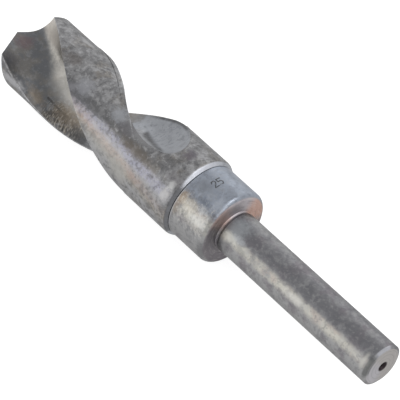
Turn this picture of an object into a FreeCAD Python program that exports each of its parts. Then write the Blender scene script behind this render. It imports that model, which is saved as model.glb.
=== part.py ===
import FreeCAD, Part
import math
import os
from FreeCAD import Vector

# Right-hand twist drill with two flutes and a reduced shank, in millimetres.
# It lies along X: the origin is the centre of the shank's end face and the point is at +X.
# Angles are in degrees about +X, from +Y towards +Z.

# Shank and neck, turned from one bar
shank_diameter = 12.7
shank_length = 58.8
shank_chamfer_depth = 1.1
shank_chamfer_length = 0.6
centre_hole_diameter = 2.0
centre_hole_depth = 5.5
centre_mouth_diameter = 2.9
centre_cone_angle = 60.0
hole_end_angle = 118.0
root_groove_depth = 0.25
root_groove_width = 1.2
neck_length = 13.4
neck_step = 1.0
neck_corner_radius = 1.7
weld_seam_size = 0.3

# Fluted body, welded to the front of the neck
drill_diameter = 25.0
body_length = 78.4
body_chamfer_share = 0.55
web_thickness = 4.0
helix_lead = 128.0
land_angle = 82.5
margin_width = 1.6
body_clearance = 0.15
flute_length = 45.7
clearance_length = 60.0
flute_opening = 96.0
floor_reach = 3.0
wall_reach = 10.0
wall_direction = 75.0
wheel_radius = 60.0
wheel_swivel = 36.0
wheel_direction = 38.0

# Ground point
point_angle = 118.0
grind_cone_half_angle = 38.0
grind_apex_distance = 24.0
grind_offset = 8.0
lip_corner_angle = 27.4

# How finely the twisted cutters are lofted, and how far they pass what they cut
station_step = 4.0
runout_step = 2.0
section_points = 12
overrun = 3.0
wall_overrun = 1.0
land_overrun_angle = 3.0
rake_start = 0.1
cutter_share = 1.6

# Places that follow from the sizes
body_radius = drill_diameter / 2
neck_radius = body_radius - neck_step
shank_radius = shank_diameter / 2
weld_x = shank_length + neck_length
tip_x = weld_x + body_length
half_point = math.radians(point_angle / 2)
twist_per_mm = 360.0 / helix_lead
half_web = web_thickness / 2
lip_reach = math.sqrt(body_radius ** 2 - half_web ** 2)
cutter_radius = body_radius * cutter_share
grind_height = 3 * body_length
origin = Vector(0, 0, 0)
x_axis = Vector(1, 0, 0)
grind_lean = half_point - math.radians(grind_cone_half_angle)
grind_axis = Vector(-math.cos(grind_lean), math.sin(grind_lean), 0)
grind_apex = Vector(grind_apex_distance / math.tan(half_point), -grind_apex_distance, grind_offset)


def flank_height(across, up):
    """Height of the grinding cone over a place on the drill's end; the lip runs across at a height of half_web."""
    cosine = math.cos(math.radians(grind_cone_half_angle)) ** 2
    side = Vector(0, across - grind_apex.y, up - grind_apex.z)
    along = side.dot(grind_axis)
    # The line from the apex to the flank makes the cone's half angle with the cone's axis.
    a = grind_axis.x ** 2 - cosine
    b = 2 * along * grind_axis.x
    c = along ** 2 - cosine * side.dot(side)
    root = math.sqrt(b ** 2 - 4 * a * c)
    heights = [(-b + sign * root) / (2 * a) for sign in (-1, 1)]
    return max(height for height in heights if height * grind_axis.x + along > 0)


lip_corner_x = tip_x + flank_height(lip_reach, half_web) - flank_height(0, 0)


def polar(radius, angle, x=0.0):
    """Point at a radius and an angle about the drill's axis."""
    turned = math.radians(angle)
    return Vector(x, radius * math.cos(turned), radius * math.sin(turned))


def turned_solid(edges):
    """Solid turned about X from a closed outline in the XY plane."""
    return Part.Face(Part.Wire(edges)).revolve(origin, x_axis, 360)


def straight_edges(corners):
    """Edges that join corners, each given as (x, radius)."""
    points = [Vector(x, radius, 0) for x, radius in corners]
    return [Part.makeLine(start, end) for start, end in zip(points, points[1:])]


def corner_arc(start, middle, end):
    """Arc through three points, each given as (x, radius)."""
    return Part.Arc(*[Vector(x, radius, 0) for x, radius in (start, middle, end)]).toShape()


def rake_point(reach):
    """Point of the flute's section on the straight lip's face, reach along the lip from the axis."""
    behind = (lip_reach - reach) / math.tan(half_point)
    angle = math.degrees(math.atan2(half_web, reach) - math.atan2(half_web, lip_reach))
    return polar(math.hypot(reach, half_web), angle - twist_per_mm * behind)


def flute_outline():
    """Places along a flute's section as (rake, wall): out of the drill to the floor, and back out at the heel."""
    outer_reach = math.sqrt(cutter_radius ** 2 - half_web ** 2)
    rake = [rake_point(outer_reach * (1 - step / section_points)) for step in range(section_points + 1)]
    floor = rake[-1]
    floor_run = (floor - rake_point(rake_start)).normalize()
    heel = polar(body_radius + wall_overrun, flute_opening)
    curve = Part.BezierCurve()
    curve.setPoles([floor, floor + floor_run * floor_reach, heel - polar(wall_reach, wall_direction), heel])
    wall = [curve.value(step / section_points) for step in range(section_points + 1)]
    return rake, wall


def helix_angle(x):
    """Angle at which a land's leading corner stands at a place along the drill."""
    return lip_corner_angle + twist_per_mm * (x - lip_corner_x)


def cut_place(point, x, wheel_x):
    """Where a point of the flute's section lies at x: on the helix, or on the wheel's last straight pass."""
    swivel = math.radians(wheel_swivel)
    outward = polar(1, wheel_direction + helix_angle(wheel_x))
    sideways = polar(1, wheel_direction + helix_angle(wheel_x) + 90)
    on_wheel = polar(point.Length, math.degrees(math.atan2(point.z, point.y)) + helix_angle(wheel_x))
    finished_x = wheel_x - on_wheel.dot(sideways) * math.sin(swivel) * math.cos(swivel)
    behind = max(0.0, finished_x - x)
    distance = min(behind / math.cos(swivel), wheel_radius)
    lift = wheel_radius - math.sqrt(wheel_radius ** 2 - distance ** 2)
    place = polar(point.Length, math.degrees(math.atan2(point.z, point.y)) + helix_angle(x + behind), x)
    return place - sideways * (behind * math.tan(swivel)) + outward * lift


def smooth_edge(points):
    """Smooth curve through points."""
    curve = Part.BSplineCurve()
    curve.interpolate(points)
    return curve.toShape()


def flute_cutter():
    """Solid that a grinding wheel takes out for one flute, past the point and out at the back."""
    wheel_x = tip_x - flute_length
    swivel = math.radians(wheel_swivel)
    rake, wall = flute_outline()
    outside = polar(cutter_radius, flute_opening)
    top = polar(cutter_radius, flute_opening / 2)
    reach_behind = math.sqrt(wheel_radius ** 2 - (wheel_radius - body_radius) ** 2) * math.cos(swivel)
    front_x = tip_x + overrun
    runout_x = wheel_x + cutter_radius * math.sin(swivel) * math.cos(swivel)
    end_x = wheel_x - reach_behind
    full_steps = math.ceil((front_x - runout_x) / station_step)
    runout_steps = math.ceil((runout_x - end_x) / runout_step)
    stations = [front_x + (runout_x - front_x) * step / full_steps for step in range(full_steps)]
    stations += [runout_x + (end_x - runout_x) * step / runout_steps for step in range(runout_steps + 1)]
    wires = []
    for x in stations:
        rake_places = [cut_place(point, x, wheel_x) for point in rake]
        wall_places = [cut_place(point, x, wheel_x) for point in wall]
        outside_place = cut_place(outside, x, wheel_x)
        top_place = cut_place(top, x, wheel_x)
        wires.append(Part.Wire([
            smooth_edge(rake_places), smooth_edge(wall_places),
            Part.makeLine(wall_places[-1], outside_place),
            Part.Arc(outside_place, top_place, rake_places[0]).toShape()]))
    return Part.makeLoft(wires, True, False)


def clearance_cutter():
    """Ring segment that thins a land behind its margin, along the helix."""
    inner_radius = body_radius - body_clearance
    start = -math.degrees(margin_width / body_radius)
    end = -land_angle - land_overrun_angle
    middle = (start + end) / 2
    section = Part.Wire([
        Part.Arc(polar(inner_radius, start), polar(inner_radius, middle), polar(inner_radius, end)).toShape(),
        Part.makeLine(polar(inner_radius, end), polar(cutter_radius, end)),
        Part.Arc(polar(cutter_radius, end), polar(cutter_radius, middle), polar(cutter_radius, start)).toShape(),
        Part.makeLine(polar(cutter_radius, start), polar(inner_radius, start))])
    front_x = tip_x + overrun
    length = clearance_length + overrun
    steps = math.ceil(length / station_step)
    wires = []
    for step in range(steps + 1):
        x = front_x - length * step / steps
        wire = section.copy()
        wire.rotate(origin, x_axis, helix_angle(x))
        wire.translate(Vector(x, 0, 0))
        wires.append(wire)
    return Part.makeLoft(wires, True, False)


def both_sides(cutter):
    """The cutter and its copy half a turn round the drill."""
    other = cutter.copy()
    other.rotate(origin, x_axis, 180)
    return [cutter, other]


def grinding_cone():
    """Cone whose inside is left when one lip's flank is ground."""
    wide_radius = grind_height * math.tan(math.radians(grind_cone_half_angle))
    cone = Part.makeCone(0, wide_radius, grind_height, grind_apex, grind_axis)
    cone.translate(Vector(tip_x - grind_apex.x - flank_height(0, 0), 0, 0))
    cone.rotate(origin, x_axis, lip_corner_angle - math.degrees(math.asin(half_web / body_radius)))
    return cone


def fluted_body():
    """Body with two flutes, relieved lands and a ground point."""
    cone_rise = neck_step * body_chamfer_share
    round_rise = neck_step - cone_rise
    round_radius = round_rise / (1 - math.cos(math.radians(45)))
    cone_end = (weld_x + cone_rise, neck_radius + cone_rise)
    round_end = (cone_end[0] + round_radius * math.sin(math.radians(45)), body_radius)
    half_turn = math.radians(22.5)
    round_middle = (round_end[0] - round_radius * math.sin(half_turn),
                    body_radius - round_radius * (1 - math.cos(half_turn)))
    front = tip_x + overrun
    blank = turned_solid(
        straight_edges([(round_end[0], body_radius), (front, body_radius), (front, 0), (weld_x, 0),
                        (weld_x, neck_radius), cone_end])
        + [corner_arc(cone_end, round_middle, round_end)])
    body = blank.cut(both_sides(flute_cutter()))
    body = body.cut(both_sides(clearance_cutter()))
    for cone in both_sides(grinding_cone()):
        body = body.common(cone)
    return body


def neck_and_shank():
    """Neck and reduced shank with its end chamfer, root groove and centre hole."""
    shoulder_x = shank_length
    corner_inset = neck_corner_radius * (1 - math.cos(math.radians(45)))
    corner_start = (shoulder_x, neck_radius - neck_corner_radius)
    corner_middle = (shoulder_x + corner_inset, neck_radius - corner_inset)
    corner_end = (shoulder_x + neck_corner_radius, neck_radius)
    groove_start = (shoulder_x - root_groove_width, shank_radius)
    groove_middle = (shoulder_x - root_groove_width / 2, shank_radius - root_groove_depth)
    groove_end = (shoulder_x, shank_radius)
    bar = turned_solid(
        straight_edges([corner_end, (weld_x - weld_seam_size, neck_radius), (weld_x, neck_radius - weld_seam_size),
                        (weld_x, 0), (0, 0), (0, shank_radius - shank_chamfer_depth),
                        (shank_chamfer_length, shank_radius), groove_start])
        + [corner_arc(groove_start, groove_middle, groove_end)]
        + straight_edges([groove_end, corner_start])
        + [corner_arc(corner_start, corner_middle, corner_end)])
    mouth_radius = centre_mouth_diameter / 2
    hole_radius = centre_hole_diameter / 2
    mouth_depth = (mouth_radius - hole_radius) / math.tan(math.radians(centre_cone_angle / 2))
    hole_end = centre_hole_depth + hole_radius / math.tan(math.radians(hole_end_angle / 2))
    hole = turned_solid(straight_edges([(0, 0), (0, mouth_radius), (mouth_depth, hole_radius),
                                        (centre_hole_depth, hole_radius), (hole_end, 0), (0, 0)]))
    return bar.cut(hole)


os.makedirs("parts", exist_ok=True)
pieces = {"fluted_body": fluted_body(), "neck_and_shank": neck_and_shank()}
for name, piece in pieces.items():
    solid = piece.Solids[0]
    print(name, "solids", len(piece.Solids), "valid", solid.isValid(), "volume", round(solid.Volume, 1),
          "faces", len(solid.Faces))
    solid.exportStep("parts/" + name + ".step")
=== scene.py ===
import bpy
import math
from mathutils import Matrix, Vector


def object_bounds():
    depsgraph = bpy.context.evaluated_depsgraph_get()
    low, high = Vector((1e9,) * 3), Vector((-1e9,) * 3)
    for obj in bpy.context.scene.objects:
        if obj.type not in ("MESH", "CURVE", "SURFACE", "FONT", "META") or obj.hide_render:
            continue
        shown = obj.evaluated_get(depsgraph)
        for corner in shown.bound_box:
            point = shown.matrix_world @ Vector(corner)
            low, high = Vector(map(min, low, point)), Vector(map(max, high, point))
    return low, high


# A worn twist drill with a thinner shank, lying on a pale floor.
# Places on the tool are in millimetres, with X from the shank's end, as the CAD model has them.
# Directions about its axis are in degrees, from +Y towards +Z.

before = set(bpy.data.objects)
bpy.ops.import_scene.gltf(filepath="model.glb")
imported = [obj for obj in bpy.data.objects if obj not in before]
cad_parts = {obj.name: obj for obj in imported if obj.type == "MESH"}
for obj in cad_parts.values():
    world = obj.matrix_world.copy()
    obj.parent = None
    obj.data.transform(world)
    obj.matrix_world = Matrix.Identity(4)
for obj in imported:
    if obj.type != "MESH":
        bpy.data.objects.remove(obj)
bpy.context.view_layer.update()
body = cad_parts["fluted_body"]
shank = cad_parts["neck_and_shank"]
print("stage: frame loaded")

# Sizes of the CAD model that the finishes follow
tool = {
    "neckRadius": 11.5,
    "bodyRadius": 12.5,
    "twistPerMm": 360 / 128,  # degrees of helix for each millimetre
    "lipCornerX": 144.2,
    "lipCornerAngle": 27.4,
}

# What both finishes share. The wear is clouds, small marks, fine scuffs and pits, in a dark and a light tone
# of each piece's own; a pair of numbers is the pattern's value where a layer begins and where it is full.
steel = {
    "mmPerMetre": 1000,
    "patterns": {
        "wearCloud": {"scale": 0.4, "detail": 4, "roughness": 0.6, "distortion": 0.3},
        "wearMark": {"scale": 0.95, "detail": 4, "roughness": 0.58},
        "wearScuff": {"detail": 2, "roughness": 0.6, "stretch": (0.12, 1.7, 0.7)},
        "wearPit": {"scale": 2.4, "detail": 2, "roughness": 0.6},
        "spotRim": {"scale": 0.9, "detail": 5, "roughness": 0.7},
        "streaks": {"roughness": 0.6, "stretch": (0.25, 4.0)},
    },
    "wearLayers": [
        {"tone": "dark", "wearCloud": (0.5, 0.62), "amount": 0.55},
        {"tone": "light", "wearCloud": (0.47, 0.37), "amount": 0.45},
        {"tone": "dark", "wearMark": (0.54, 0.64), "amount": 0.6},
        {"tone": "light", "wearMark": (0.45, 0.36), "amount": 0.45},
        {"tone": "light", "wearScuff": (0.58, 0.68), "amount": 0.12},
        {"tone": "dark", "wearPit": (0.67, 0.73), "amount": 0.4},
    ],
    "spotShift": 1.8,  # how far the noise moves the rim of a spot of size 1, in and out together
    "spotSteps": (1.35, 0.35),  # distances from a spot's middle where it begins and where it is full
    "speckleRoughness": 0.14,
    "specularTint": (0.6, 0.6, 0.6, 1),
    "bumpDistance": 0.0001,
}


class Value:
    # One socket's value, so that shader maths reads as plain Python
    def __init__(self, nodes, socket):
        self.nodes = nodes
        self.socket = socket

    def math(self, operation, *others):
        return self.nodes.node("ShaderNodeMath", {"operation": operation}, [self, *others])

    def __add__(self, other):
        return self.math("ADD", other)

    def __sub__(self, other):
        return self.math("SUBTRACT", other)

    def __mul__(self, other):
        return self.math("MULTIPLY", other)

    def __rsub__(self, other):
        return self.nodes.node("ShaderNodeMath", {"operation": "SUBTRACT"}, [other, self])

    __radd__ = __add__
    __rmul__ = __mul__

    def atLeast(self, other):
        return self.math("MAXIMUM", other)

    def atMost(self, other):
        return self.math("MINIMUM", other)


class Nodes:
    # A node tree being built
    def __init__(self, tree):
        self.tree = tree

    def node(self, kind, settings, inputs, output=0, every=False):
        # Adds a node of a type, with its settings and a number or link for each socket, and gives back
        # one of its outputs, or all of them if every is set
        made = self.tree.nodes.new(kind)
        for name, value in settings.items():
            setattr(made, name, value)
        pairs = inputs.items() if isinstance(inputs, dict) else enumerate(inputs)
        for name, value in pairs:
            source = value.socket if isinstance(value, Value) else value
            if isinstance(source, bpy.types.NodeSocket):
                self.tree.links.new(source, made.inputs[name])
            else:
                made.inputs[name].default_value = source
        if every:
            return [Value(self, socket) for socket in made.outputs]
        return Value(self, made.outputs[output])

    def link(self, value, socket):
        self.tree.links.new(value.socket, socket)


class Finish(Nodes):
    # A piece's material: places on the tool, patterns, masks and paint, as the piece's look says
    def __init__(self, name, look):
        self.material = bpy.data.materials.new(name)
        self.material.use_nodes = True
        super().__init__(self.material.node_tree)
        self.look = look
        metres = self.node("ShaderNodeTexCoord", {}, [], output="Object")
        normal = self.node("ShaderNodeTexCoord", {}, [], output="Normal")
        self.place = self.node("ShaderNodeVectorMath", {"operation": "SCALE"},
                               {"Vector": metres, "Scale": steel["mmPerMetre"]})
        self.x, self.y, self.z = self.node("ShaderNodeSeparateXYZ", {}, [self.place], every=True)
        self.radius = (self.y * self.y + self.z * self.z).math("SQRT")
        self.angle = self.z.math("ARCTAN2", self.y) * math.degrees(1)
        # Degrees past a lip's corner, along the helix: a flute up to 97.5, and then a land up to 180
        helix = self.angle - tool["lipCornerAngle"] - (self.x - tool["lipCornerX"]) * tool["twistPerMm"]
        self.lane = helix.math("WRAP", 180, 0)
        self.values = {"x": self.x, "y": self.y, "radius": self.radius, "lane": self.lane,
                       "facingX": self.node("ShaderNodeSeparateXYZ", {}, [normal])}
        for pattern, settings in {**steel["patterns"], **look["patterns"]}.items():
            self.values[pattern] = self.noise(**settings)
        self.masks = {}

    def ramp(self, value, low, high, start=0.0, end=1.0):
        # Smooth step from start to end while the value goes from low to high
        return self.node("ShaderNodeMapRange", {"interpolation_type": "SMOOTHSTEP"},
                         {"Value": value, "From Min": low, "From Max": high, "To Min": start, "To Max": end})

    def noise(self, scale=1.0, detail=3, roughness=0.55, distortion=0.0, stretch=None, rings=None, grid=None):
        # Cloudy value from 0 to 1; scale, stretch and grid are cells for each millimetre, and rings are
        # cells for each millimetre outward and for each degree
        where = self.place
        if stretch:
            where = self.stretched(*stretch)
        if rings:
            outward, about = rings
            where = self.node("ShaderNodeCombineXYZ", {}, [self.radius * outward, self.angle * about, 0.0])
        if grid:
            where = self.node("ShaderNodeVectorMath", {"operation": "MULTIPLY"}, [self.place, grid])
        return self.node("ShaderNodeTexNoise", {},
                         {"Vector": where, "Scale": scale, "Detail": detail, "Roughness": roughness,
                          "Distortion": distortion})

    def stretched(self, alongX, about, slant=0.0):
        # Places for streaks: along the tool, round it and away from its axis; slant winds them round it.
        # arc is in millimetres on the body's surface, for both pieces
        arc = self.turnFrom(90) * math.radians(tool["bodyRadius"]) + self.x * slant
        return self.node("ShaderNodeCombineXYZ", {}, [self.x * alongX, arc * about, self.radius])

    def swing(self, pattern):
        # A pattern's value about 0, from -0.5 to 0.5
        return self.values[pattern] - 0.5

    def turnFrom(self, centre):
        # Degrees about the axis from a direction, between -180 and 180
        return (self.angle - centre).math("WRAP", 180, -180)

    def span(self, start, end, soft):
        # 1 between two places along the tool, with soft ends
        return self.ramp(self.x, start - soft, start + soft) * self.ramp(self.x, end + soft, end - soft)

    def side(self, centre, half, soft, turn=0.0):
        # 1 within some degrees of a direction about the axis, with soft and frayed sides; turn is the
        # degrees that the direction moves for each millimetre
        middle = self.x * turn + centre if turn else centre
        away = self.turnFrom(middle).math("ABSOLUTE") + self.swing("ragged") * half
        return self.ramp(away, half + soft, half - soft)

    def evenSide(self, centre, half, soft):
        # As side, but its sides are smooth and it doesn't turn
        return self.ramp(self.turnFrom(centre).math("ABSOLUTE"), half + soft, half - soft)

    def spot(self, centre, size):
        # Cloudy spot round a place; size is its half lengths along X, Y and Z
        offset = self.node("ShaderNodeVectorMath", {"operation": "SUBTRACT"}, [self.place, centre])
        scaled = self.node("ShaderNodeVectorMath", {"operation": "DIVIDE"}, [offset, size])
        distance = self.node("ShaderNodeVectorMath", {"operation": "LENGTH"}, [scaled], output=1)
        return self.ramp(distance + self.swing("spotRim") * steel["spotShift"], *steel["spotSteps"])

    def stroke(self, start, end, width, soft, endWidth=None):
        # 1 within half a width of a straight line between two places; endWidth makes it taper
        run = Vector(end) - Vector(start)
        perMm = run / run.length_squared
        offset = self.node("ShaderNodeVectorMath", {"operation": "SUBTRACT"}, [self.place, start])
        share = self.node("ShaderNodeVectorMath", {"operation": "DOT_PRODUCT"}, [offset, perMm], output=1)
        share = share.atLeast(0).atMost(1)
        foot = self.node("ShaderNodeVectorMath", {"operation": "SCALE"}, {"Vector": run, "Scale": share})
        away = self.node("ShaderNodeVectorMath", {"operation": "DISTANCE"}, [offset, foot], output=1)
        if endWidth is not None:
            away = away + share * ((width - endWidth) / 2)
        return self.ramp(away, width / 2 + soft, width / 2)

    def cover(self, layer):
        # How much a layer or mask covers, which is the product of all that it names. Where a key is a place
        # or a pattern, the layer begins at the first number and is full at the second, or goes from the
        # third to the fourth between them. One key may have two such ramps.
        shapes = {"side": self.side, "evenSide": self.evenSide, "span": self.span, "stroke": self.stroke}
        parts = [layer["amount"]] if "amount" in layer else []
        for key, numbers in layer.items():
            if key in shapes:
                parts.append(shapes[key](*numbers))
            elif key in self.values:
                steps = numbers if isinstance(numbers[0], tuple) else (numbers,)
                parts += [self.ramp(self.values[key], *step) for step in steps]
        if "centre" in layer:
            parts.append(self.spot(layer["centre"], layer["size"]))
        parts += [self.masks[name] for name in layer.get("within", ())]
        parts += [1 - self.masks[name] for name in layer.get("without", ())]
        whole = parts[0]
        for part in parts[1:]:
            whole = whole * part
        return whole

    def makeMasks(self):
        # In the look's order, because a mask may lie within one before it
        for name, mask in self.look["masks"].items():
            self.masks[name] = self.cover(mask)

    def asColour(self, paint):
        # A colour that a node makes, or else a paint by its name or by its red, green and blue
        if isinstance(paint, Value):
            return paint
        return linear(self.look["paints"][paint] if isinstance(paint, str) else paint)

    def paint(self, under, over, amount):
        # 6 and 7 are the Mix node's two colours, and output 2 is its colour
        return self.node("ShaderNodeMix", {"data_type": "RGBA"},
                         {"Factor": amount, 6: self.asColour(under), 7: self.asColour(over)}, output=2)

    def layered(self, colour, group):
        # A group of layers over a colour, in their order
        for layer in self.look[group].values():
            colour = self.paint(colour, layer["colour"], self.cover(layer))
        return colour

    def weathered(self, colour, dark, light, strength):
        # Wear over a colour; strength is a mask
        tones = {"dark": dark, "light": light}
        for layer in steel["wearLayers"]:
            colour = self.paint(colour, tones[layer["tone"]], self.cover(layer) * strength)
        return colour

    def finishUp(self, colour, rougher, duller, dent):
        # Gloss, metal and bumps follow the patterns; rougher and duller are added to or taken from them in
        # some places, and dent is cut into the surface
        gloss = self.look["gloss"]
        roughness = self.ramp(self.values["mottle"], *gloss["roughness"])
        roughness = roughness + self.swing("speckle") * steel["speckleRoughness"] + rougher
        metallic = self.ramp(self.values["mottle"], *gloss["metallic"]) - duller
        height = sum(self.values[name] * share for name, share in self.look["bumps"].items()) - dent
        bump = self.node("ShaderNodeBump", {}, {"Height": height, "Distance": steel["bumpDistance"]})
        shader = self.tree.nodes["Principled BSDF"]
        self.link(colour, shader.inputs["Base Color"])
        self.link(roughness, shader.inputs["Roughness"])
        self.link(metallic, shader.inputs["Metallic"])
        self.link(bump, shader.inputs["Normal"])
        shader.inputs["Specular Tint"].default_value = steel["specularTint"]
        return self.material


def linear(parts):
    # Linear colour, with alpha, from red, green and blue between 0 and 1 as a screen shows them
    return tuple(part / 12.92 if part < 0.04045 else ((part + 0.055) / 1.055) ** 2.4
                 for part in parts) + (1.0,)


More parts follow.
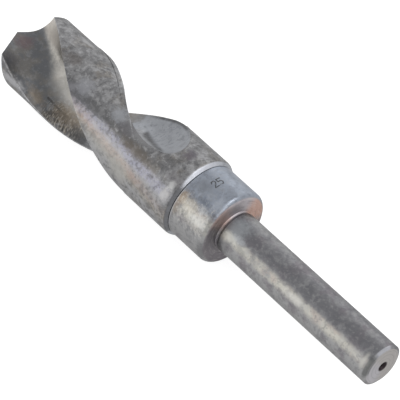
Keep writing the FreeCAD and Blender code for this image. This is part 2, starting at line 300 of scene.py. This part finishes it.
# Worn high-speed steel: mottled lands, darker smooth flutes, heat tints, stained spots, and painted light and
# shade
bodyLook = {
    "paints": {
        "land": (0.48, 0.48, 0.485),
        "landDark": (0.34, 0.34, 0.345),
        "landLight": (0.61, 0.61, 0.615),
        "flute": (0.35, 0.355, 0.365),
        "runOut": (0.60, 0.61, 0.63),
        # pale hairs, and the painted light on each flute's heel wall
        "heelWall": (0.70, 0.685, 0.655),
        # painted light at the top of the heel wall
        "heelTop": (0.84, 0.81, 0.775),
        "brownOxide": (0.44, 0.415, 0.38),
        "straw": (0.55, 0.525, 0.47),
        "pink": (0.61, 0.54, 0.50),
        "lilac": (0.555, 0.555, 0.60),
        "edge": (0.68, 0.68, 0.69),
        # dark marks and scratches, and painted shade in the crease, along the pocket's far edge and on the
        # ring's lower side
        "grime": (0.24, 0.235, 0.235),
        "ringShine": (0.76, 0.77, 0.80),
        "ground": (0.56, 0.565, 0.57),
    },
    "gloss": {  # two values of the mottle, and the roughness or metal at each
        "roughness": (0.3, 0.7, 0.35, 0.48),
        "metallic": (0.4, 0.75, 0.95, 0.8),
        "shineDuller": 0.3,
        "wallDuller": 0.7,
        "creaseDepth": 0.4,
    },
    "bumps": {"relief": 0.6, "speckle": 0.3, "streaks": 0.06},
    "patterns": {
        "mottle": {"scale": 0.32, "detail": 5, "roughness": 0.65, "distortion": 0.6},
        "speckle": {"scale": 1.3, "detail": 4, "roughness": 0.65},
        "ragged": {"scale": 0.5, "detail": 5, "roughness": 0.65},
        "landPatches": {"scale": 0.14},
        "fluteCloud": {"scale": 0.22},
        "hairs": {"detail": 2, "roughness": 0.5, "stretch": (0.6, 4.5)},
        "grindLines": {"detail": 2, "grid": (9, 0.7, 0.7)},
        "relief": {"scale": 0.7, "detail": 4, "roughness": 0.6},
    },
    # Painted light: a flute's wall is painted pale where the lamp lights it, past a line that leans outward,
    # and that moves with X at one slope in front of a bend and at another behind it
    "wall": {
        "laneStart": -40,  # lanes are counted from here to laneEnd, so that no flute is cut in two
        "laneEnd": 140,
        "lean": 0.45,
        "bendX": 133,
        "frontSlope": 0.55,
        "rearSlope": 0.2,
        "fray": 2,
    },
    "tintEnd": 52,  # degrees about the axis where the heat tints end and the painted shade past them begins
    "masks": {
        "land": {"radius": (12.1, 12.3)},
        "band": {"span": (74, 118, 5), "x": (110, 101, 0.7, 1)},  # where the heat tints lie
        "calm": {"evenSide": (30, 18, 10), "amount": 0.25},  # less wear
        "fluteWear": {"x": (134, 120, 0.22, 0.45)},
        "outer": {"radius": (5.0, 7.5)},  # away from the web
        "crease": {"stroke": ((102.5, -5.2, -2.4), (85.0, 1.8, 8.6), 1.0, 1.3, -0.7), "x": (102.6, 100.6)},
        "paleWall": {"frayedDark": (-1.2, 2.4), "x": (126, 141, 0, 0.95)},
        "deepWall": {"within": ["paleWall"], "across": (3, 6), "x": (130, 138)},
        "ground": {"facingX": (0.44, 0.54), "x": (120, 125)},  # the two flanks of the point
        "ring": {"x": (73.3, 72.9)},  # the body's rear corner
        "shine": {"within": ["ring"], "side": (97, 26, 16)},
    },
    "landLayers": {
        "oxide": {"colour": "brownOxide", "landPatches": (0.5, 0.64), "amount": 0.5},
        # painted shade: a darker band along the land, where it reflects no lamp
        "shade": {"colour": "landDark", "side": (61, 8, 5), "x": (78, 90), "amount": 0.7},
        # painted light: one side of the land lighter, where it reflects the floor
        "paintedLitSide": {"colour": "landLight", "side": (12, 26, 10), "within": ["band"], "amount": 0.6},
        "pink": {"colour": "pink", "side": (-41.5, 7, 5, 0.75), "within": ["band"], "x": (80, 92, 0.3, 0.8)},
        "straw": {"colour": "straw", "side": (-49.5, 5, 5, 0.75), "within": ["band"], "amount": 0.4},
        "lilac": {"colour": "lilac", "side": (17.5, 7, 4, 0.275), "within": ["band"],
                  "speckle": (0.62, 0.4, 0.5, 0.9)},
    },
    "tintEdgeLayers": {  # painted over the wear: painted shade just past the heat tints, where the land stops reflecting the lamp
        "shade": {"colour": "landDark", "pastTints": ((-0.6, 0.8), (20, 5)), "span": (104, 118, 2),
                  "amount": 0.6},
    },
    "fluteLayers": {  # dark and smooth, and paler where a flute runs out
        "oxide": {"colour": "brownOxide", "fluteCloud": (0.45, 0.62), "amount": 0.35},
        "runOut": {"colour": "runOut", "x": (122, 100)},
        "brown": {"colour": "brownOxide", "span": (108, 127, 4), "within": ["outer"],
                  "fluteCloud": (0.35, 0.55), "amount": 0.7},
        "darkHairs": {"colour": "grime", "span": (116, 127, 3), "within": ["outer"],
                      "hairs": (0.49, 0.57), "amount": 0.85},
        "paleHairs": {"colour": "heelWall", "span": (116, 127, 3), "within": ["outer"],
                      "hairs": (0.44, 0.36), "amount": 0.55},
        "frontScratch": {"colour": "grime", "stroke": ((129.0, 7.2, -2.4), (125.4, 6.8, -3.6), 0.25, 0.4),
                         "amount": 0.85},
        "rearScratch": {"colour": "grime", "stroke": ((125.4, 6.8, -3.6), (121.4, 6.3, -5.0), 0.25, 0.4),
                        "amount": 0.85},
        # painted light: the rake face in the run-out, lit beside the dark crease
        "paleBand": {"colour": "landLight", "stroke": ((103.0, -3.8, -2.6), (87.0, 3.6, 8.0), 1.4, 1.8),
                     "amount": 0.6},
        # painted shade: the dark crease where the run-out's floor lies in shadow
        "crease": {"colour": "grime", "within": ["crease"], "amount": 0.8},
        # painted shade: a dark line along the pocket's far edge
        "farEdge": {"colour": "grime", "radius": (11.1, 11.8), "span": (87.5, 105, 3), "y": (-3, -6),
                    "amount": 0.75},
    },
    # painted light: the heel side of each flute's wall pale, and paler near its top
    "wallLayers": {
        "spread": {"colour": "heelWall", "pastDark": (-3.2, 1.5), "x": ((134.5, 131.0), (108, 122)),
                   "amount": 0.45},
        "pale": {"colour": "heelWall", "within": ["paleWall"], "speckle": (0.6, 0.4, 0.7, 1.0)},
        "top": {"colour": "heelTop", "within": ["deepWall"], "amount": 0.6},
    },
    "pointLayers": {
        "ground": {"colour": "ground", "within": ["ground"]},
        "lines": {"colour": "landDark", "within": ["ground"], "grindLines": (0.45, 0.7), "amount": 0.4},
        "mottle": {"colour": "landDark", "within": ["ground"], "mottle": (0.5, 0.65), "amount": 0.3},
    },
    # Cloudy spots: real marks, and some painted light and shade, as said at each
    "stainsAndPaintedLight": {
        "purple": {"centre": (146.3, 1.6, 2.3), "size": (2.8, 3.0, 2.5),
                   "colour": (0.38, 0.32, 0.33), "amount": 0.6},
        "darkLip": {"centre": (143.0, 9.5, 3.3), "size": (4.0, 3.0, 2.5),
                    "colour": (0.28, 0.28, 0.30), "amount": 0.5},
        # painted shade along the heel edge
        "heelShade": {"centre": (118.0, 6.9, 10.3), "size": (6.0, 2.2, 2.0),
                      "colour": (0.31, 0.31, 0.32), "amount": 0.7},
        "fluteEdge": {"centre": (131.0, 9.4, -1.6), "size": (5.0, 1.6, 2.6),
                      "colour": (0.44, 0.40, 0.35), "amount": 0.5},
        "frontPale": {"centre": (139.2, 12.3, 0.0), "size": (5.5, 1.6, 2.0),
                      "colour": (0.64, 0.64, 0.65), "amount": 0.8},
        # painted highlight on the land's top edge
        "rimPale": {"centre": (129.0, -7.5, 9.8), "size": (3.5, 1.2, 1.2),
                    "colour": (0.64, 0.64, 0.645), "amount": 0.7},
        "heelBlotch": {"centre": (125.0, 0.5, 12.3), "size": (3.2, 2.2, 1.5),
                       "colour": (0.34, 0.32, 0.31), "amount": 0.6},
        # lightens that painted shade near the heel's apex
        "heelPale": {"centre": (118.9, 6.2, 10.7), "size": (1.8, 1.2, 1.2),
                     "colour": (0.49, 0.49, 0.505), "amount": 0.6},
        "paleWear": {"centre": (115.5, 4.2, 11.6), "size": (3.2, 3.0, 2.0),
                     "colour": (0.58, 0.585, 0.605), "amount": 0.55},
        "fluteBrown": {"centre": (121.0, 6.4, -4.6), "size": (6.0, 3.0, 3.0),
                       "colour": (0.42, 0.38, 0.33), "amount": 0.6},
        "fluteDeep": {"centre": (116.4, 6.6, -8.6), "size": (3.4, 2.2, 3.0),
                      "colour": (0.285, 0.285, 0.29), "amount": 0.75},
        "marginBrown": {"centre": (90.5, 7.4, 10.0), "size": (6.5, 1.8, 2.0),
                        "colour": (0.38, 0.355, 0.33), "amount": 0.7},
        "marginPale": {"centre": (93.0, 4.1, 11.8), "size": (6.5, 1.8, 2.0),
                       "colour": (0.50, 0.50, 0.505), "amount": 0.8},
        # painted light: two spots making the lit side of the land lighter still
        "sidePale": {"centre": (99.5, 10.8, 6.3), "size": (8.0, 3.0, 4.2),
                     "colour": (0.62, 0.615, 0.605), "amount": 0.45},
        "sideLight": {"centre": (92.5, 12.0, 3.6), "size": (4.0, 2.2, 4.0),
                      "colour": (0.62, 0.615, 0.60), "amount": 0.75},
        "marginShade": {"centre": (97.3, 5.0, 11.3), "size": (3.2, 1.8, 2.0),
                        "colour": (0.38, 0.375, 0.39), "amount": 0.6},
        "marginLight": {"centre": (101.8, 3.6, 11.8), "size": (3.0, 2.4, 2.0),
                        "colour": (0.57, 0.58, 0.60), "amount": 0.7},
        "crossMark": {"centre": (78.2, -1.5, 12.4), "size": (1.8, 2.2, 1.5),
                      "colour": (0.36, 0.34, 0.37), "amount": 0.7},
        "ringShade": {"centre": (75.5, 6.3, 10.8), "size": (3.5, 2.0, 2.0),
                      "colour": (0.38, 0.37, 0.38), "amount": 0.5},
        "ringRub": {"centre": (75.0, 7.6, 9.9), "size": (1.2, 1.5, 1.3),
                    "colour": (0.68, 0.68, 0.68), "amount": 0.65},
        "ringScuff": {"centre": (75.2, 9.8, 7.6), "size": (1.8, 1.8, 2.2),
                      "colour": (0.68, 0.675, 0.67), "amount": 0.65},
    },
    "edgeLayers": {
        # painted shade on the lower side of the body's rear ring, and a painted highlight on its upper side
        "ringConeShade": {"colour": "grime", "within": ["ring"], "side": (15, 42, 8), "amount": 0.65},
        "ringShine": {"colour": "ringShine", "within": ["shine"], "amount": 0.85},
        "heelEdge": {"colour": "edge", "lane": ((95.5, 96.5), (99, 97.5)), "within": ["land"], "x": (90, 100),
                     "speckle": (0.35, 0.6), "amount": 0.6},
        "leadingEdge": {"colour": "edge", "lane": (177.6, 179), "within": ["land"], "x": (90, 100),
                        "speckle": (0.35, 0.6), "amount": 0.6},
    },
}


def makeBodyFinish():
    finish = Finish("worn_tool_steel", bodyLook)
    masks = finish.masks
    # Places across a flute, and how far they are past the dark part of its wall, where the painted light
    # begins
    wall = bodyLook["wall"]
    laneTurn = finish.lane.math("WRAP", wall["laneEnd"], wall["laneStart"]) * math.radians(1)
    across = laneTurn.math("SINE") * finish.radius
    ahead = finish.x - wall["bendX"]
    pastDark = across - laneTurn.math("COSINE") * finish.radius * wall["lean"]
    pastDark = pastDark - ahead.atLeast(0) * wall["frontSlope"] - ahead.atMost(0) * wall["rearSlope"]
    finish.values["across"] = across
    finish.values["pastDark"] = pastDark
    finish.values["frayedDark"] = pastDark + finish.swing("ragged") * wall["fray"]
    finish.values["pastTints"] = finish.turnFrom(bodyLook["tintEnd"])
    finish.makeMasks()

    land = finish.layered("land", "landLayers")
    land = finish.weathered(land, "landDark", "landLight", 1 - masks["calm"])
    land = finish.layered(land, "tintEdgeLayers")
    flute = finish.layered("flute", "fluteLayers")
    flute = finish.weathered(flute, "flute", "runOut", masks["fluteWear"])
    flute = finish.layered(flute, "wallLayers")
    colour = finish.paint(flute, land, masks["land"])
    for group in ("pointLayers", "stainsAndPaintedLight", "edgeLayers"):
        colour = finish.layered(colour, group)

    gloss = bodyLook["gloss"]
    openWall = masks["deepWall"] * (1 - masks["land"]) * (1 - masks["ground"])
    duller = masks["shine"] * gloss["shineDuller"] + openWall * gloss["wallDuller"]
    return finish.finishUp(colour, 0.0, duller, masks["crease"] * gloss["creaseDepth"])


# Worn carbon steel: a blue-grey neck with a size number, and a shank with straw scuffs that are partly a
# painted highlight, with painted light and shade on its sides, edges and centre hole
shankLook = {
    "paints": {
        "steel": (0.465, 0.465, 0.475),
        "dark": (0.37, 0.37, 0.385),
        "light": (0.57, 0.57, 0.57),
        "neckBlue": (0.52, 0.545, 0.585),
        # the neck's pale mottle, and painted light on its far side
        "neckPale": (0.60, 0.625, 0.67),
        "straw": (0.64, 0.63, 0.595),
        "violet": (0.42, 0.40, 0.42),
        "rose": (0.60, 0.545, 0.52),
        "copper": (0.70, 0.58, 0.53),
        "shoulder": (0.46, 0.445, 0.46),
        # for the painted highlight on the shoulder's upper part
        "shoulderPale": (0.67, 0.65, 0.665),
        "endFace": (0.62, 0.605, 0.595),
        "endLilac": (0.64, 0.635, 0.66),
        # for the painted highlights on the end chamfer and on the neck's rear edge
        "endRim": (0.68, 0.685, 0.71),
        # dark marks and turning rings, and painted shade on one side of the end chamfer and at its inner edge
        "grime": (0.34, 0.345, 0.345),
        "endScuff": (0.66, 0.655, 0.635),
        "rubLight": (0.72, 0.71, 0.69),
        # near black, for painted shade in the centre hole
        "hole": (0.12, 0.07, 0.09),
        "markInk": (0.27, 0.27, 0.27),
    },
    "gloss": {
        "roughness": (0.3, 0.7, 0.3, 0.42),
        "metallic": (0.4, 0.75, 0.95, 0.82),
        "shoulderRougher": 0.2,
        "holeDuller": 0.6,
        "endDuller": 0.3,
        "markDepth": 0.8,
    },
    "bumps": {"relief": 0.5, "speckle": 0.3, "streaks": 0.06},
    "wearStrength": 0.66,
    "patterns": {
        "mottle": {"scale": 0.3, "detail": 5, "roughness": 0.65, "distortion": 0.5},
        "speckle": {"scale": 1.4, "detail": 4, "roughness": 0.65},
        "ragged": {"scale": 0.9, "detail": 5, "roughness": 0.7, "stretch": (0.6, 1.2)},
        "tint": {"scale": 0.16, "detail": 4, "roughness": 0.6},
        "rubs": {"roughness": 0.65, "stretch": (1.5, 0.9, -0.3)},
        "swirl": {"detail": 4, "roughness": 0.65, "rings": (1.6, 0.05)},
        "turningRings": {"detail": 2, "rings": (2.2, 0)},
        "relief": {"scale": 0.8, "detail": 4, "roughness": 0.6},
    },
    "masks": {
        # straw scuffs along the side where the lamp's streak lies, partly a painted highlight
        "scuffsAndSheen": {"side": (40, 12, 8), "x": (2, 12, 0.55, 1)},
        "neck": {"x": (58.0, 59.6), "side": (110, 52, 12)},
        "neckCalm": {"within": ["neck"], "amount": 0.26},  # less wear
        "rubbed": {"span": (59.8, 71.6, 0.8), "side": (42, 26, 10)},
        "shoulder": {"span": (58.3, 59.1, 0.15), "radius": (10.9, 10.3)},
        "endFace": {"x": (0.25, 0.1)},
        "hole": {"radius": (1.75, 1.3), "x": (8, 7.5)},
    },
    "shankLayers": {
        "mottle": {"colour": "dark", "mottle": (0.48, 0.68), "amount": 0.6},
        # painted light: one side of the shank lighter, where it reflects the floor
        "paintedLitSide": {"colour": "light", "side": (0, 45, 15), "amount": 0.7},
        # painted light: the far side, seen at a grazing angle, lighter
        "paintedLitFarSide": {"colour": "light", "side": (130, 16, 14), "x": (18, 50), "amount": 0.7},
        # straw scuffs, and a painted highlight where the lamp's streak lies
        "straw": {"colour": "straw", "within": ["scuffsAndSheen"], "mottle": (0.72, 0.42), "amount": 0.8},
        "rose": {"colour": "rose", "within": ["scuffsAndSheen"], "tint": (0.5, 0.6), "amount": 0.4},
        "violet": {"colour": "violet", "without": ["scuffsAndSheen"], "tint": (0.5, 0.4), "amount": 0.6},
        # painted shade: darker along the shank's upper side
        "paintedShadeSide": {"colour": "dark", "side": (76, 14, 12), "amount": 0.6},
        "neckBlue": {"colour": "neckBlue", "within": ["neck"], "amount": 0.9},
        "neckMottle": {"colour": "neckPale", "within": ["neck"], "mottle": (0.5, 0.4), "amount": 0.35},
        # painted light: the neck's far side paler
        "neckPale": {"colour": "neckPale", "within": ["neck"], "evenSide": (140, 26, 20), "amount": 0.5},
    },
    "scuffLayers": {  # painted over the wear: straw scuffs that are partly a painted highlight along the lamp's streak
        "straw": {"colour": "straw", "within": ["scuffsAndSheen"], "amount": 0.1},
    },
    # Cloudy spots: real marks, and some painted light and shade, as said at each
    "stainsAndPaintedLight": {
        "rustPatch": {"centre": (70.7, 7.3, 8.9), "size": (1.6, 2.2, 1.8),
                      "colour": (0.52, 0.455, 0.38), "amount": 0.65},
        "rustEdge": {"centre": (71.0, 9.6, 6.3), "size": (1.3, 2.4, 2.4),
                     "colour": (0.44, 0.40, 0.36), "amount": 0.6},
        "strawPatch": {"centre": (67.3, 7.7, 8.5), "size": (3.2, 2.0, 1.8),
                       "colour": (0.66, 0.64, 0.60), "amount": 0.6},
        "palePatch": {"centre": (62.5, 9.0, 7.2), "size": (3.4, 2.0, 1.8),
                      "colour": (0.70, 0.70, 0.69), "amount": 0.6},
        "scuffs": {"centre": (64.4, 5.1, 10.3), "size": (2.4, 1.2, 1.2),
                   "colour": (0.40, 0.43, 0.48), "amount": 0.6},
        # wear, and a painted highlight on the neck's rounded corner at the shoulder
        "shoulderWearAndSheen": {"centre": (61.2, 3.8, 10.8), "size": (1.2, 3.0, 1.4),
                         "colour": (0.66, 0.68, 0.72), "amount": 0.4},
        # painted shade: the lower side of the rounding at the shoulder darker
        "shoulderShade": {"centre": (59.4, 10.8, -0.5), "size": (1.2, 2.0, 4.0),
                          "colour": (0.35, 0.35, 0.36), "amount": 0.6},
        "shankStart": {"centre": (55.0, 2.2, 6.0), "size": (4.2, 4.0, 2.2),
                       "colour": (0.55, 0.565, 0.58), "amount": 0.7},
        "startScuff": {"centre": (55.2, 4.6, 4.4), "size": (3.2, 1.5, 1.5),
                       "colour": (0.68, 0.675, 0.65), "amount": 0.7},
        "neckSheen": {"centre": (63.5, 6.6, 9.4), "size": (1.8, 1.3, 1.2),
                      "colour": (0.65, 0.655, 0.665), "amount": 0.65},
        "startSheen": {"centre": (52.2, 3.7, 5.1), "size": (2.6, 1.0, 1.0),
                       "colour": (0.62, 0.63, 0.64), "amount": 0.6},
        "startShade": {"centre": (49.6, 5.1, 3.8), "size": (1.8, 0.9, 0.9),
                       "colour": (0.48, 0.48, 0.47), "amount": 0.6},
        "midScuff": {"centre": (28.8, 5.0, 3.9), "size": (4.0, 1.3, 1.3),
                     "colour": (0.68, 0.675, 0.66), "amount": 0.6},
        "greyTop": {"centre": (68.5, 2.0, 11.3), "size": (2.6, 2.4, 1.5),
                    "colour": (0.46, 0.475, 0.50), "amount": 0.6},
    },
    "neckLayers": {
        "paleRubs": {"colour": "rubLight", "within": ["rubbed"], "rubs": (0.52, 0.64), "amount": 0.4},
        "darkRubs": {"colour": "grime", "within": ["rubbed"], "rubs": (0.46, 0.35), "amount": 0.3},
        # painted highlight: a thin bright line on the neck's rear edge, next to the body
        "rim": {"colour": "endRim", "span": (71.7, 72.3, 0.15), "side": (30, 36, 10), "amount": 0.5},
    },
    "shoulderLayers": {
        "shoulder": {"colour": "shoulder", "within": ["shoulder"], "amount": 0.9},
        # painted highlight: the shoulder face paler towards the top
        "paleTop": {"colour": "shoulderPale", "within": ["shoulder"], "side": (108, 50, 20), "amount": 0.95},
        "copperRoot": {"colour": "copper", "within": ["shoulder"], "side": (64, 18, 14), "amount": 0.55},
        "copperSide": {"colour": "copper", "within": ["shoulder"], "side": (164, 28, 14), "amount": 0.85},
        "paleSweeps": {"colour": "rubLight", "within": ["shoulder"], "swirl": (0.52, 0.66), "amount": 0.35},
        "darkSweeps": {"colour": "grime", "within": ["shoulder"], "swirl": (0.46, 0.34), "amount": 0.35},
    },
    "endLayers": {  # faint turning rings; a chamfer with a painted highlight at the top and painted shade on one side; and painted shade in the centre hole
        "face": {"colour": "endFace", "within": ["endFace"], "amount": 0.9},
        "lilac": {"colour": "endLilac", "within": ["endFace"], "evenSide": (-5, 60, 25), "amount": 0.7},
        "rings": {"colour": "grime", "within": ["endFace"], "turningRings": (0.5, 0.7), "amount": 0.5},
        # painted highlight on the chamfer's top
        "paleRim": {"colour": "endRim", "without": ["endFace"], "x": (1.0, 0.8), "side": (95, 24, 10),
                    "amount": 0.65},
        "scuff": {"colour": "endScuff", "span": (1.9, 2.9, 0.4), "side": (42, 22, 8), "amount": 0.6},
        # painted shade on one side of the chamfer
        "darkRim": {"colour": "grime", "without": ["endFace"], "x": (1.6, 1.0), "side": (35, 30, 8),
                    "amount": 0.8},
        # painted shade at the end face's edge, on the same side
        "darkEdge": {"colour": "grime", "within": ["endFace"], "radius": (4.9, 5.3), "side": (35, 28, 10),
                     "amount": 0.7},
        # painted shade: the centre hole near black
        "hole": {"colour": "hole", "within": ["hole"]},
    },
    "markLayers": {
        "ink": {"colour": "markInk", "within": ["mark"], "speckle": (0.3, 0.5, 0.4, 0.85)},
    },
    "mark": {
        "x": 65.8,
        "angle": 89.0,
        "glyphHeight": 2.2,
        "glyphWidth": 1.3,
        "glyphGap": 0.6,
        "line": 0.22,
        "soft": 0.12,
        "glyphs": [  # the plain number 25, each figure as (across, up) shares of its box
            [(0, 0.75), (0.25, 1), (0.8, 1), (1, 0.7), (0, 0), (1, 0)],
            [(1, 1), (0, 1), (0, 0.55), (0.65, 0.6), (1, 0.35), (0.7, 0), (0, 0.08)],
        ],
    },
}


def markStrokes():
    # Start and end places of every line of the size number, on the neck's surface
    mark = shankLook["mark"]
    radius = tool["neckRadius"]
    for index, glyph in enumerate(mark["glyphs"]):
        places = []
        for across, up in glyph:
            arc = index * (mark["glyphWidth"] + mark["glyphGap"]) + across * mark["glyphWidth"]
            turned = math.radians(mark["angle"]) + arc / radius
            x = mark["x"] + up * mark["glyphHeight"]
            places.append((x, radius * math.cos(turned), radius * math.sin(turned)))
        yield from zip(places, places[1:])


def makeShankFinish():
    finish = Finish("worn_shank_steel", shankLook)
    masks = finish.masks
    finish.makeMasks()
    mark = shankLook["mark"]
    lines = [finish.stroke(start, end, mark["line"], mark["soft"]) for start, end in markStrokes()]
    masks["mark"] = lines[0]
    for line in lines[1:]:
        masks["mark"] = masks["mark"].atLeast(line)

    colour = finish.layered("steel", "shankLayers")
    colour = finish.weathered(colour, "dark", "light", shankLook["wearStrength"] - masks["neckCalm"])
    for group in ("scuffLayers", "stainsAndPaintedLight", "neckLayers", "shoulderLayers", "endLayers", "markLayers"):
        colour = finish.layered(colour, group)

    gloss = shankLook["gloss"]
    rougher = masks["shoulder"] * gloss["shoulderRougher"]
    duller = masks["hole"] * gloss["holeDuller"] + masks["endFace"] * gloss["endDuller"]
    return finish.finishUp(colour, rougher, duller, masks["mark"] * gloss["markDepth"])


for node, material in ((body, makeBodyFinish()), (shank, makeShankFinish())):
    node.data.materials.clear()
    node.data.materials.append(material)
print("stage: finishes")

# Floor, world and lamps
studio = {
    "floorSize": 4.0,
    "floorGlow": 0.82,
    "floorColour": (0.5, 0.5, 0.5, 1),
    "floorRoughness": 0.9,
    "white": (1, 1, 1, 1),
    "worldLevel": 0.55,
    "lampAim": (0.075, 0, 0),  # the middle of the tool
}


def seenDirectly(nodes):
    # 1 for camera, glossy and transmission rays
    names = ("Is Camera Ray", "Is Glossy Ray", "Is Transmission Ray")
    camera, glossy, transmission = [nodes.node("ShaderNodeLightPath", {}, [], output=name) for name in names]
    return camera.atLeast(glossy).atLeast(transmission)


def makeFloor():
    half = studio["floorSize"] / 2
    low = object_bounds()[0][2]
    corners = [(-half, -half, low), (half, -half, low), (half, half, low), (-half, half, low)]
    mesh = bpy.data.meshes.new("studio_floor")
    mesh.from_pydata(corners, [], [(0, 1, 2, 3)])
    floor = bpy.data.objects.new("studio_floor", mesh)
    bpy.context.scene.collection.objects.link(floor)
    material = bpy.data.materials.new("studio_floor")
    material.use_nodes = True
    nodes = Nodes(material.node_tree)
    shader = material.node_tree.nodes["Principled BSDF"]
    shader.inputs["Base Color"].default_value = studio["floorColour"]
    shader.inputs["Roughness"].default_value = studio["floorRoughness"]
    shader.inputs["Specular IOR Level"].default_value = 0.0
    shader.inputs["Emission Color"].default_value = studio["white"]
    nodes.link(seenDirectly(nodes) * studio["floorGlow"], shader.inputs["Emission Strength"])
    mesh.materials.append(material)


def makeWorld():
    world = bpy.data.worlds.new("studio")
    bpy.context.scene.world = world
    world.use_nodes = True
    nodes = Nodes(world.node_tree)
    background = world.node_tree.nodes["Background"]
    background.inputs["Color"].default_value = studio["white"]
    level = studio["worldLevel"]
    nodes.link(seenDirectly(nodes) * (1 - level) + level, background.inputs["Strength"])


lamps = {
    "side_softbox": {"direction": (0.479, 0.813, 0.333), "distance": 0.75,
                     "width": 1.1, "height": 0.5, "power": 1.35},
    "top_softbox": {"direction": (-0.42, -0.38, 0.82), "distance": 1.0,
                    "width": 0.5, "height": 0.45, "power": 2.2},
    "fill_softbox": {"direction": (0.479, -0.836, 0.266), "distance": 0.9,
                     "width": 1.2, "height": 0.6, "power": 1.3},
    "back_softbox": {"direction": (-0.864, 0.0, 0.502), "distance": 0.8,
                     "width": 0.5, "height": 0.35, "power": 1.0},
}


def makeLamps():
    for name, lamp in lamps.items():
        light = bpy.data.lights.new(name, "AREA")
        light.shape = "RECTANGLE"
        light.size = lamp["width"]
        light.size_y = lamp["height"]
        light.energy = lamp["power"]
        direction = Vector(lamp["direction"]).normalized()
        item = bpy.data.objects.new(name, light)
        item.location = Vector(studio["lampAim"]) + direction * lamp["distance"]
        item.rotation_euler = direction.to_track_quat("Z", "Y").to_euler()
        bpy.context.scene.collection.objects.link(item)


# The photograph's viewing angle
view = {
    "position": (-0.30431, 0.32117, 0.61173),
    "forward": (0.478695, -0.408107, -0.777368),
    "lens": 263.37,
    "sensorWidth": 36,
    "clipStart": 0.01,
    "clipEnd": 20,
}


def makeCamera():
    camera = bpy.data.cameras.new("photo_view")
    camera.lens = view["lens"]
    camera.sensor_width = view["sensorWidth"]
    camera.clip_start = view["clipStart"]
    camera.clip_end = view["clipEnd"]
    item = bpy.data.objects.new("photo_view", camera)
    item.location = view["position"]
    item.rotation_euler = Vector(view["forward"]).to_track_quat("-Z", "Y").to_euler()
    bpy.context.scene.collection.objects.link(item)
    bpy.context.scene.camera = item


makeFloor()
makeWorld()
makeLamps()
makeCamera()
bpy.context.scene.view_settings.view_transform = "Standard"
print("stage: studio")
